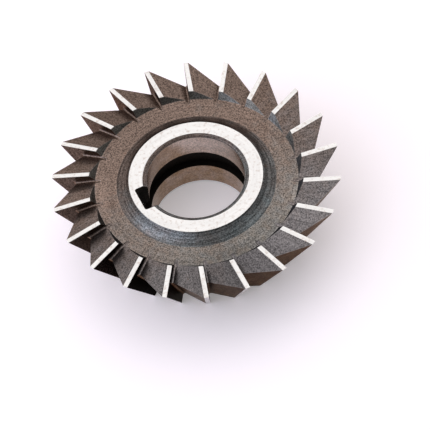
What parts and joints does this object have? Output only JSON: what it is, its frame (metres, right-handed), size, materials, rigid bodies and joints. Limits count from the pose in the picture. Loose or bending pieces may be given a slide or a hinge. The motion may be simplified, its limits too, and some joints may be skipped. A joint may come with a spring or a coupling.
{
  "type": "single angle milling cutter",
  "caption": "Single angle milling cutter: a ring of sharp teeth on a flat face and a 60 degree conical flank, round a keyed arbor bore with raised ground hubs.",
  "frame": {"origin": "on the bore's axis, at the ground hub face of the small end", "axes": "+Z along the bore's axis towards the large end with the face teeth, -X along the keyway"},
  "size_m": [0.0748, 0.075, 0.02],
  "materials": {
    "tool_steel": "steam tempered dark oxide, ground bright on hub faces and tooth lands"
  },
  "bodies": {
    "root": {"milling_cutter": "tool_steel"}
  },
  "joints": []
}
